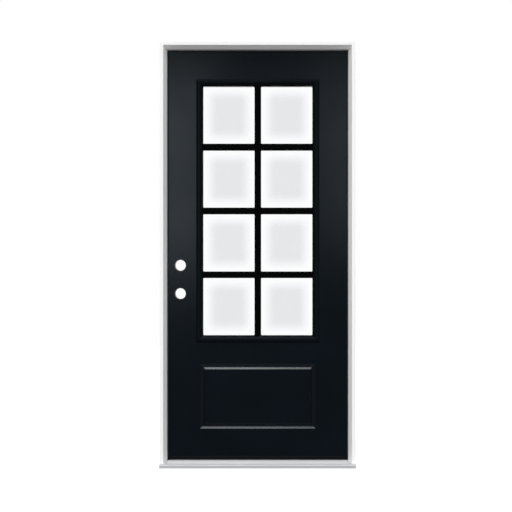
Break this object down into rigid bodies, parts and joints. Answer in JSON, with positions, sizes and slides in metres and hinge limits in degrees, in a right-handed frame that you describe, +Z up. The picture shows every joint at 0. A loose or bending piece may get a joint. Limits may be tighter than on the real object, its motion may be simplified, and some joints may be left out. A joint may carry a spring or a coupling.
{
  "type": "entrance door",
  "caption": "Prehung inswing entrance door: glazed fibreglass slab with divided lites over a moulded panel, hinged in a rabbeted jamb frame with seals and a sill.",
  "frame": {"origin": "on the sill's underside, at mid width and mid jamb depth", "axes": "+X to the right as seen from outside, +Y from outside to inside, +Z up"},
  "size_m": [0.9524, 0.1564, 2.0733],
  "materials": {
    "primed_wood": "factory primed, smooth",
    "seal_foam": "skinned foam seal",
    "sweep_vinyl": "flexible vinyl",
    "sill_composite": "moulded composite",
    "sill_aluminium": "anodised, ribbed",
    "cap_composite": "satin composite",
    "hinge_steel": "satin",
    "fibreglass_skin": "painted smooth, satin",
    "lite_frame_polymer": "moulded, satin",
    "pane_glass": "clear float",
    "spacer_metal": "dark",
    "stile_paint": "laminated, painted to match the skins",
    "block_wood": "laminated, bare",
    "rail_composite": "moulded composite",
    "core_foam": "rigid foam"
  },
  "bodies": {
    "frame": {"hinge_jamb": "primed_wood", "strike_jamb": "primed_wood", "head_jamb": "primed_wood", "sill_base": "sill_composite", "sill_deck": "sill_aluminium", "sill_cap": "cap_composite", "weatherstrip_head": "seal_foam", "weatherstrip_hinge_side": "seal_foam", "weatherstrip_strike_side": "seal_foam", "top_hinge_jamb_leaf": "hinge_steel", "middle_hinge_jamb_leaf": "hinge_steel", "bottom_hinge_jamb_leaf": "hinge_steel", "top_hinge_pin": "hinge_steel", "middle_hinge_pin": "hinge_steel", "bottom_hinge_pin": "hinge_steel"},
    "door": {"exterior_skin": "fibreglass_skin", "interior_skin": "fibreglass_skin", "lock_stile": "stile_paint", "hinge_stile": "stile_paint", "top_rail": "rail_composite", "bottom_rail": "rail_composite", "lock_block": "block_wood", "foam_core": "core_foam", "exterior_lite_frame": "lite_frame_polymer", "interior_lite_frame": "lite_frame_polymer", "exterior_pane": "pane_glass", "interior_pane": "pane_glass", "glass_spacer": "spacer_metal", "door_sweep": "sweep_vinyl", "top_hinge_door_leaf": "hinge_steel", "middle_hinge_door_leaf": "hinge_steel", "bottom_hinge_door_leaf": "hinge_steel"}
  },
  "joints": [
    {"name": "door_swing", "type": "hinge", "parent": "frame", "child": "door", "pos_m": [0.4547, 0.06495, 1], "axis": [0, 0, -1], "range_deg": [0, 110]}
  ]
}
